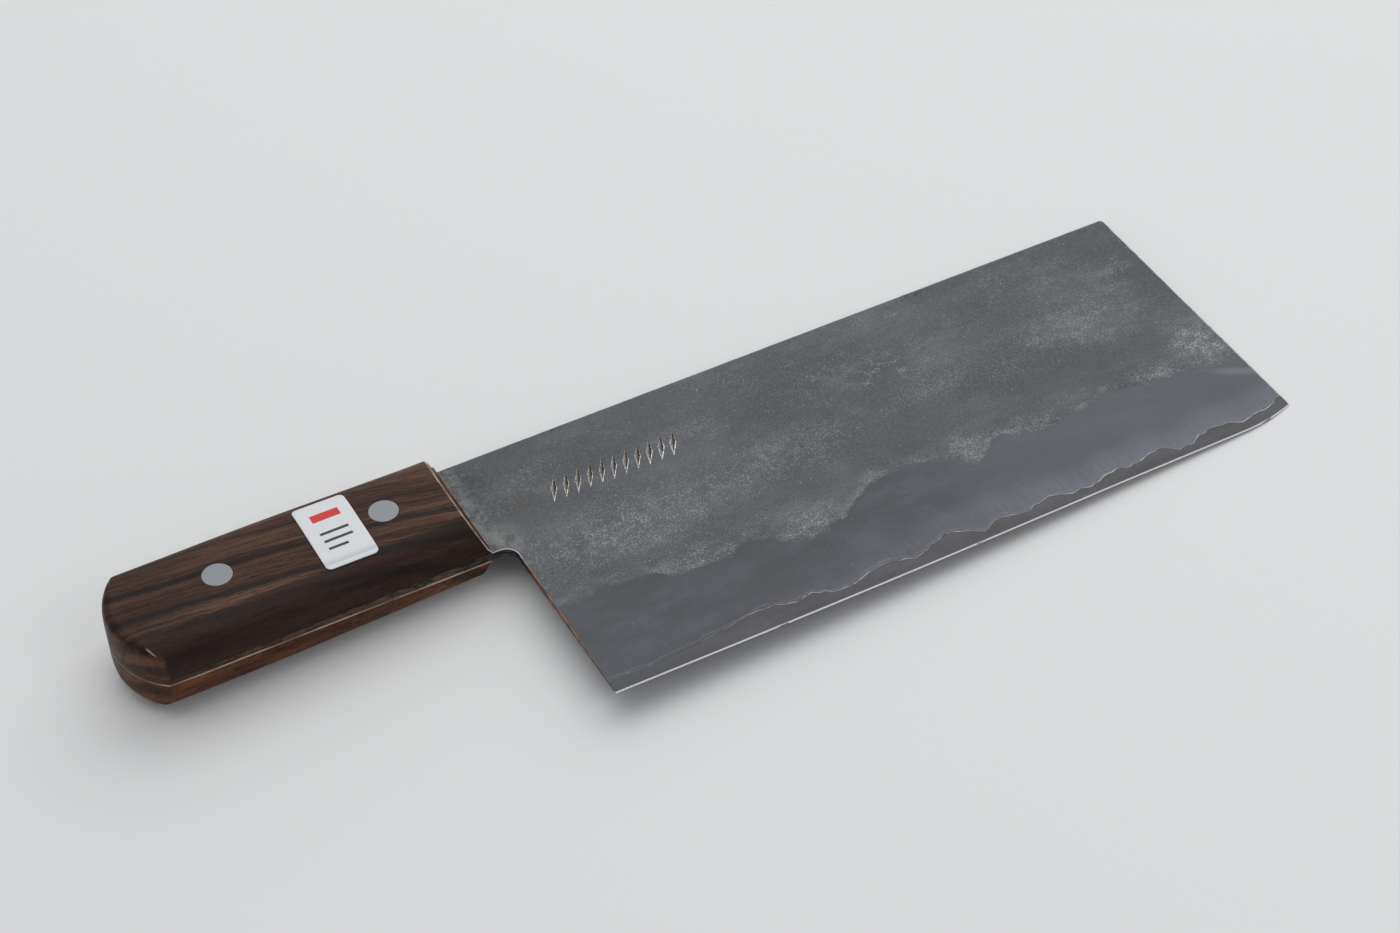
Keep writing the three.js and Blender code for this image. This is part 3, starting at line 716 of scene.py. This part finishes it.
def wood_finish(name, tones, flank_shade_strength):
    """Rosewood: slow bands, wavy dark streaks, thin threads, fine fibres, open pores, rings on the butt, and
    painted shade on the near flank and towards the butt.
    """
    finish, tree, surface, place = new_finish(name, 0.0, 0.14)
    light, mid, red = tones
    x, y, z = axes(tree, place)
    turned = reckon(tree, "MULTIPLY_ADD", reckon(tree, "ADD", x, GRAIN_ORIGIN), GRAIN_TURN, y)
    past = reckon(tree, "MAXIMUM", reckon(tree, "ADD", x, GRAIN_BEND_FROM), 0.0)
    turned = reckon(tree, "MULTIPLY_ADD", reckon(tree, "MULTIPLY", past, past), GRAIN_BEND, turned)
    wander = mottle(tree, place, (28.0, 9.0, 9.0), 3.0, 0.5)
    ripple = mottle(tree, place, (5.0, 3.0, 3.0), 3.0, 0.5, (6.0, 2.0, 0.0))
    turned = reckon(tree, "MULTIPLY_ADD", reckon(tree, "SUBTRACT", wander, 0.5), 2.4, turned)
    turned = reckon(tree, "MULTIPLY_ADD", reckon(tree, "SUBTRACT", ripple, 0.5), 1.3, turned)
    along = tree.nodes.new("ShaderNodeCombineXYZ")
    for socket, value in zip(along.inputs, (x, turned, z)):
        feed(tree, socket, value)
    grain = along.outputs[0]

    bands = mottle(tree, grain, (95.0, 6.5, 7.0), 3.0, 0.5)
    streaks = mottle(tree, grain, (60.0, 1.3, 2.2), 4.0, 0.6)
    threads = mottle(tree, grain, (30.0, 0.5, 0.7), 2.0, 0.5, (2.0, 8.0, 3.0))
    fibres = mottle(tree, grain, (9.0, 0.28, 0.3), 3.0, 0.6)
    pores = mottle(tree, grain, (3.2, 0.3, 0.3), 2.0, 0.5, (4.0, 1.0, 2.0))
    shade = reckon(tree, "MULTIPLY_ADD", streaks, 0.6, reckon(tree, "MULTIPLY", bands, 0.7))
    shade = reckon(tree, "MULTIPLY_ADD", reckon(tree, "SUBTRACT", fibres, 0.5), 0.45, shade)
    colour = tint(tree, fade(tree, shade, 0.46, 0.66), red, mid)
    colour = tint(tree, fade(tree, shade, 0.6, 0.86), colour, light)
    # Painted shade: the near flank below the land and the handle towards the butt are darkened as if turned
    # from the lamps, except the butt's end wall.
    painted_flank_shade = reckon(tree, "MAXIMUM", fade(tree, y, *FLANK_SHADE_UP), fade(tree, x, *BUTT_SHADE_ALONG, 0.0, 0.62))
    end = reckon(tree, "MULTIPLY", fade(tree, x, *BUTT_WALL_ALONG), fade(tree, z, *BUTT_WALL_UP))
    painted_flank_shade = reckon(tree, "MULTIPLY", painted_flank_shade, reckon(tree, "SUBTRACT", 1.0, end))
    colour = tint(tree, reckon(tree, "MULTIPLY", painted_flank_shade, flank_shade_strength), colour, WOOD_SHADE_DARK)
    rings = reckon(tree, "MULTIPLY_ADD", y, RING_SLOPE[0], reckon(tree, "MULTIPLY", z, RING_SLOPE[1]))
    rings = reckon(tree, "SINE", reckon(tree, "MULTIPLY_ADD", wander, RING_WANDER, rings))
    end_grain = tint(tree, fade(tree, rings, -0.7, 0.8), END_DARK, END_BROWN)
    colour = tint(tree, reckon(tree, "MULTIPLY", end, 0.75), colour, end_grain)

    skew = reckon(tree, "MULTIPLY_ADD", reckon(tree, "SUBTRACT", z, LAND), 0.35, turned)
    dark = fade(tree, streaks, 0.44, 0.3, 0.0, 0.6)
    dark = reckon(tree, "MAXIMUM", dark, fade(tree, threads, 0.58, 0.68, 0.0, 0.6))
    frayed = reckon(tree, "MULTIPLY", reckon(tree, "SUBTRACT", threads, 0.5), 3.4)
    for centre, reach, strength in DARK_STREAKS:
        away = reckon(tree, "ABSOLUTE", reckon(tree, "SUBTRACT", skew, centre))
        away = reckon(tree, "ADD", away, frayed)
        dark = reckon(tree, "MAXIMUM", dark, fade(tree, away, reach, 0.35, 0.0, strength))
    dark = reckon(tree, "MULTIPLY", dark, fade(tree, fibres, 0.25, 0.55, 0.7, 1.0))
    colour = tint(tree, dark, colour, WOOD_DARK)
    open_pore = fade(tree, pores, 0.6, 0.7)
    colour = tint(tree, reckon(tree, "MULTIPLY", open_pore, 0.7), colour, WOOD_DARK)
    feed(tree, surface.inputs["Base Color"], colour)
    feed(tree, surface.inputs["Roughness"], fade(tree, fibres, 0.3, 0.7, 0.5, 0.4))
    height = reckon(tree, "MULTIPLY_ADD", open_pore, -1.0, reckon(tree, "MULTIPLY", fibres, 0.5))
    relief(tree, surface, height, 0.05)
    return finish


def burnish_highlight_finish():
    """Corners of the wood polished lighter by hands and sanding, with a painted highlight where they face the
    lamps, some stretches more than others.
    """
    finish, tree, surface, place = new_finish("rosewood_burnished_highlight", 0.0, 0.5)
    rubs = mottle(tree, place, (14.0, 5.0, 5.0), 4.0, 0.6)
    x, _, z = axes(tree, place)
    butt = reckon(tree, "MULTIPLY", fade(tree, x, *BUTT_CORNER_ALONG), fade(tree, z, *BUTT_CORNER_UP))
    # Painted highlight and shade at the butt corner: a short lit stretch near its top, the rest in the
    # flank's painted shade.
    worn = reckon(tree, "MULTIPLY", fade(tree, z, *BUTT_HIGHLIGHT_UP), fade(tree, z, *BUTT_HIGHLIGHT_TOP))
    butt_shade = reckon(tree, "MULTIPLY", butt, reckon(tree, "SUBTRACT", 1.0, worn))
    polish_and_highlight = reckon(tree, "SUBTRACT", fade(tree, rubs, 0.34, 0.62), butt_shade)
    polish_and_highlight = reckon(tree, "MAXIMUM", polish_and_highlight, 0.0)
    polish_and_highlight = reckon(tree, "MULTIPLY", polish_and_highlight, fade(tree, x, *BUTT_LIP_ALONG, 1.0, 0.3))
    colour = tint(tree, polish_and_highlight, tint(tree, butt_shade, UPPER_TONES[0], WOOD_SHADE_DARK), WOOD_BURNISH_HIGHLIGHT)
    feed(tree, surface.inputs["Base Color"], colour)
    feed(tree, surface.inputs["Roughness"], fade(tree, rubs, 0.3, 0.7, 0.4, 0.25))
    return finish


def rubbed(face):
    """Whether a broken corner takes the burnished finish, polished by wear and painted as a highlight where
    it faces up or toward the lamps: lower lip of the seam, front end, top of the butt.
    """
    height = knife(face.center).z
    on_lip = height < 0 and face.normal.z > LIP_FACING
    on_front = face.normal.x > FRONT_FACING
    on_butt = face.normal.x < -BUTT_FACING and height > BUTT_SHEEN_FROM
    return on_lip or on_front or on_butt


def corner_width(ends, seam_arris):
    """How far a corner is broken: hardly along the tang, most round the front end."""
    if max(abs(end.z) for end in ends) < SEAM:
        return seam_arris
    if min(end.x for end in ends) > FRONT_END:
        return FRONT_ARRIS
    return ARRIS


def break_corners(piece, seam_arris):
    """Rounds the sharp corners of a scale, each by its own width, but never those of the bores."""
    bpy.ops.object.mode_set(mode="EDIT")
    bpy.ops.mesh.select_mode(type="EDGE")
    bpy.ops.mesh.select_all(action="DESELECT")
    bpy.ops.mesh.edges_select_sharp(sharpness=math.radians(CREASE))
    bpy.ops.object.mode_set(mode="OBJECT")
    widths = np.zeros(len(piece.data.edges))
    for edge in piece.data.edges:
        ends = [knife(piece.data.vertices[v].co) for v in edge.vertices]
        middle = (ends[0] + ends[1]) / 2
        in_bore = min((middle.xy - Vector(rivet)).length for rivet in RIVETS) < RIVET_HEAD + BORE_MARGIN
        if edge.select and not in_bore:
            widths[edge.index] = corner_width(ends, seam_arris)
    weights = piece.data.attributes.new("bevel_weight_edge", "FLOAT", "EDGE")
    weights.data.foreach_set("value", widths / widths.max())
    breaking = piece.modifiers.new("breaking", "BEVEL")
    breaking.limit_method = "WEIGHT"
    breaking.width = widths.max() * MM
    breaking.segments = 3
    breaking.material = 1
    breaking.use_clamp_overlap = False
    bpy.ops.object.modifier_apply(modifier=breaking.name)


def sanded_scale(node, name, wood, seam_arris):
    """One scale with its corners broken and its rounded sides shaded as one surface."""
    piece = joined_copy(node, name)
    piece.data.materials.append(wood)
    piece.data.materials.append(burnish_highlight)
    break_corners(piece, seam_arris)
    for face in piece.data.polygons:
        if not rubbed(face):
            face.material_index = 0
    bpy.ops.object.shade_smooth_by_angle(angle=math.radians(CREASE))
    evened = piece.modifiers.new("evened", "WEIGHTED_NORMAL")
    evened.keep_sharp = True
    bpy.ops.object.modifier_apply(modifier=evened.name)
    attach(piece, "root")
    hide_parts(node)
    return piece


burnish_highlight = burnish_highlight_finish()
upper_wood = wood_finish("rosewood_upper", UPPER_TONES, 0.85)
lower_wood = wood_finish("rosewood_lower", LOWER_TONES, 0.0)
upper_scale = sanded_scale("upper_scale", "upper_scale_rosewood", upper_wood, UPPER_SEAM_ARRIS)
sanded_scale("lower_scale", "lower_scale_rosewood", lower_wood, LOWER_SEAM_ARRIS)

# Cutler's rivets. Two soft aluminium rivets, each a headed sleeve from above and a headed post driven into it
# from below. The heads were sanded flush with the wood, so their faces carry fine lines along the handle.
HEAD_ARRIS = 0.16
RIVET_GREY = (0.245, 0.254, 0.27, 1.0)
RIVET_DULL = (0.21, 0.218, 0.233, 1.0)


def rivet_finish():
    """Sanded aluminium: fine lines along the handle over a slightly clouded face."""
    finish, tree, surface, place = new_finish("rivet_sanded", 0.6, 0.3)
    lines = mottle(tree, place, (6.0, 0.16, 6.0), 3.0, 0.6)
    colour = tint(tree, fade(tree, lines, 0.25, 0.75), RIVET_DULL, RIVET_GREY)
    feed(tree, surface.inputs["Base Color"], colour)
    feed(tree, surface.inputs["Roughness"], fade(tree, lines, 0.3, 0.7, 0.34, 0.46))
    relief(tree, surface, lines, 0.002)
    return finish


sanded_rivet = rivet_finish()
for node in ("front_rivet_sleeve", "front_rivet_post", "rear_rivet_sleeve", "rear_rivet_post"):
    rivet = joined_copy(node, node + "_sanded")
    rivet.data.materials.append(sanded_rivet)
    bpy.ops.object.mode_set(mode="EDIT")
    bpy.ops.mesh.select_mode(type="EDGE")
    bpy.ops.mesh.select_all(action="DESELECT")
    bpy.ops.mesh.edges_select_sharp(sharpness=math.radians(CREASE))
    bpy.ops.mesh.bevel(offset=HEAD_ARRIS * MM, segments=2, affect="EDGES")
    bpy.ops.object.mode_set(mode="OBJECT")
    bpy.ops.object.shade_smooth_by_angle(angle=math.radians(CREASE))
    evened = rivet.modifiers.new("evened", "WEIGHTED_NORMAL")
    evened.keep_sharp = True
    bpy.ops.object.modifier_apply(modifier=evened.name)
    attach(rivet, "root")
    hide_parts(node)

# Label. A white coated-paper sticker pressed across the crown of the upper scale, its lower end bent over the
# rounding of the side. It carries only a plain red bar and three thin rules.
LABEL_CENTRE = (-43.6, 82.7)
LABEL_WIDTH = 15.5
LABEL_LENGTH = 26.5
LABEL_CORNER = 1.6
LABEL_LIFT = 0.06
LABEL_THICKNESS = 0.3
LABEL_ROW = 1.0
LABEL_ARRIS = 0.1
PAPER_WHITE = (0.74, 0.755, 0.77, 1.0)
PAPER_BENT_SHADE = (0.5, 0.53, 0.58, 1.0)
PAPER_SHADE = (0.68, 0.69, 0.7, 1.0)
INK_RED = (0.62, 0.02, 0.014, 1.0)
INK_DARK = (0.02, 0.024, 0.03, 1.0)
RED_BAR = ((-43.6, 89.4), (4.2, 1.5))
RULES = (((-43.6, 82.8), (4.2, 0.5)), ((-43.6, 79.7), (4.2, 0.5)), ((-44.9, 76.6), (2.9, 0.5)))
CREASE_AT = 71.0
CREASE_REACH = 2.4
CREASE_EDGE = 0.3
INK_SOFTNESS = 0.04
PRESSED_FROM = 2.0
TRIM_ANGLE = 50.0


def block(tree, x, y, centre, half):
    """1 inside a printed block, 0 outside it."""
    share = 1.0
    for value, middle, reach in ((x, centre[0], half[0]), (y, centre[1], half[1])):
        away = reckon(tree, "ABSOLUTE", reckon(tree, "SUBTRACT", value, middle))
        share = reckon(tree, "MULTIPLY", fade(tree, away, reach + INK_SOFTNESS, reach - INK_SOFTNESS), share)
    return share


def label_finish():
    """Coated white paper with a little tooth, ink with slightly uneven edges and cover, and a painted shade
    band where the lower end bends.
    """
    finish, tree, surface, place = new_finish("label_coated_paper", 0.0, 0.3)
    surface.inputs["Coat Weight"].default_value = 0.12
    surface.inputs["Coat Roughness"].default_value = 0.12
    x, y, _ = axes(tree, place)
    tooth = mottle(tree, place, (0.5, 0.5, 0.5), 3.0)
    drift = mottle(tree, place, (0.9, 0.9, 0.9), 3.0)
    bleed = reckon(tree, "MULTIPLY", reckon(tree, "SUBTRACT", drift, 0.5), 0.14)
    x = reckon(tree, "ADD", x, bleed)
    y = reckon(tree, "ADD", y, bleed)
    colour = tint(tree, tooth, PAPER_SHADE, PAPER_WHITE)
    # Painted shade: a greyer, bluer band just above the lower end, where the label bends over the rounding
    # and turns from the lamps.
    bent_shade = fade(tree, y, CREASE_AT + CREASE_REACH, CREASE_AT)
    bent_shade = reckon(tree, "MULTIPLY", bent_shade, fade(tree, y, CREASE_AT - CREASE_EDGE, CREASE_AT))
    colour = tint(tree, reckon(tree, "MULTIPLY", bent_shade, 0.75), colour, PAPER_BENT_SHADE)
    cover = fade(tree, tooth, 0.15, 0.45, 0.9, 1.0)
    colour = tint(tree, reckon(tree, "MULTIPLY", block(tree, x, y, *RED_BAR), cover), colour, INK_RED)
    for rule in RULES:
        colour = tint(tree, reckon(tree, "MULTIPLY", block(tree, x, y, *rule), cover), colour, INK_DARK)
    feed(tree, surface.inputs["Base Color"], colour)
    feed(tree, surface.inputs["Roughness"], fade(tree, tooth, 0.3, 0.7, 0.34, 0.44))
    relief(tree, surface, tooth, 0.006)
    return finish


bpy.ops.object.select_all(action="DESELECT")
bpy.ops.mesh.primitive_plane_add(size=1.0, location=framed(*LABEL_CENTRE, LAND + PRESSED_FROM))
label = bpy.context.view_layer.objects.active
label.name = "label_sticker"
label.scale = (LABEL_WIDTH * MM, LABEL_LENGTH * MM, 1.0)
bpy.ops.object.transform_apply()
bpy.ops.object.mode_set(mode="EDIT")
bpy.ops.mesh.select_all(action="SELECT")
bpy.ops.mesh.bevel(offset=LABEL_CORNER * MM, segments=6, affect="VERTICES")
for along in np.arange(-LABEL_LENGTH / 2 + LABEL_ROW, LABEL_LENGTH / 2, LABEL_ROW):
    bpy.ops.mesh.select_all(action="SELECT")
    bpy.ops.mesh.bisect(plane_co=framed(0, LABEL_CENTRE[1] + along, 0), plane_no=(0, 1, 0))
for across in np.arange(-LABEL_WIDTH / 2 + LABEL_ROW, LABEL_WIDTH / 2, 2 * LABEL_ROW):
    bpy.ops.mesh.select_all(action="SELECT")
    bpy.ops.mesh.bisect(plane_co=framed(LABEL_CENTRE[0] + across, 0, 0), plane_no=(1, 0, 0))
bpy.ops.object.mode_set(mode="OBJECT")
pressing = label.modifiers.new("pressing", "SHRINKWRAP")
pressing.wrap_method = "PROJECT"
pressing.use_project_z = True
pressing.use_negative_direction = True
pressing.use_positive_direction = False
pressing.target = upper_scale
pressing.offset = LABEL_LIFT * MM
bpy.ops.object.modifier_apply(modifier=pressing.name)
backing = label.modifiers.new("backing", "SOLIDIFY")
backing.thickness = LABEL_THICKNESS * MM
backing.offset = 1.0
bpy.ops.object.modifier_apply(modifier=backing.name)
trimming = label.modifiers.new("trimming", "BEVEL")
trimming.width = LABEL_ARRIS * MM
trimming.segments = 2
trimming.angle_limit = math.radians(TRIM_ANGLE)
bpy.ops.object.modifier_apply(modifier=trimming.name)
label.data.materials.append(label_finish())
bpy.ops.object.shade_smooth_by_angle(angle=math.radians(CREASE))
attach(label, "root")
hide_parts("label")

# Floor. A plain pale sheet. The cleaver rests on the front of its handle and on the tip of its blade, so the
# sheet lies at a slight slope to the knife and the butt stands clear of it.
FLOOR_SIZE = 12.0
FLOOR_TOUCH = (-10.4, 75.6, -11.0)
FLOOR_RISE = (0.0421, -0.0166)
FLOOR_PALE = (0.8, 0.8, 0.795, 1.0)

bpy.ops.object.select_all(action="DESELECT")
bpy.ops.mesh.primitive_plane_add(size=FLOOR_SIZE)
floor = bpy.context.view_layer.objects.active
floor.name = "floor"
floor_up = Vector((-FLOOR_RISE[0], -FLOOR_RISE[1], 1.0)).normalized()
floor.rotation_euler = floor_up.to_track_quat("Z", "Y").to_euler()
floor.location = framed(*FLOOR_TOUCH)
bpy.ops.object.transform_apply()
floor_finish = bpy.data.materials.new("floor_pale")
floor_finish.use_nodes = True
floor_surface = floor_finish.node_tree.nodes["Principled BSDF"]
floor_surface.inputs["Base Color"].default_value = FLOOR_PALE
floor_surface.inputs["Roughness"].default_value = 0.7
floor_surface.inputs["Specular IOR Level"].default_value = 0.2
floor.data.materials.append(floor_finish)

# Light. A wide softbox stands behind the knife on the right, one hangs above it, and a small strip lamp is
# in front. A pale surround fills the shadows.
SURROUND = (0.36, 0.37, 0.385, 1.0)


def softbox(name, place, aim, size, watts):
    """A square soft lamp at a place, turned to an aim, all in metres."""
    bpy.ops.object.light_add(type="AREA", location=place)
    lamp = bpy.context.view_layer.objects.active
    lamp.name = name
    lamp.data.shape = "RECTANGLE"
    lamp.data.size = size[0]
    lamp.data.size_y = size[1]
    lamp.data.energy = watts
    lamp.rotation_euler = (Vector(aim) - Vector(place)).to_track_quat("-Z", "Y").to_euler()


softbox("softbox_back", (1.1, 1.05, 1.3), (0.0, 0.0, 0.0), (2.6, 2.0), 19.0)
softbox("softbox_above", (-0.35, 0.35, 1.8), (0.0, 0.0, 0.0), (2.0, 2.0), 11.0)
softbox("strip_front", (0.4, -0.95, 0.95), (-0.1, 0.0, 0.0), (0.8, 0.3), 2.2)
world = bpy.data.worlds.new("studio")
bpy.context.scene.world = world
world.use_nodes = True
world.node_tree.nodes["Background"].inputs["Color"].default_value = SURROUND

# Camera. It looks down on the upper face from the heel side, with the handle to the left.
CAMERA_PLACE = (-0.27193, -0.53133, 0.58905)
CAMERA_RIGHT = (0.87895, -0.47613, -0.02752)
CAMERA_UP = (0.34453, 0.59401, 0.72695)
CAMERA_AHEAD = (0.32977, 0.64843, -0.68614)
CAMERA_LENS = 76.21
CAMERA_SENSOR = 36.0

bpy.ops.object.camera_add()
camera = bpy.context.view_layer.objects.active
camera.name = "camera"
turn = Matrix((CAMERA_RIGHT, CAMERA_UP, -Vector(CAMERA_AHEAD))).transposed()
camera.matrix_world = Matrix.Translation(CAMERA_PLACE) @ turn.to_4x4()
camera.data.lens = CAMERA_LENS
camera.data.sensor_width = CAMERA_SENSOR
camera.data.sensor_fit = "HORIZONTAL"
bpy.context.scene.camera = camera
bpy.context.scene.view_settings.view_transform = "Standard"
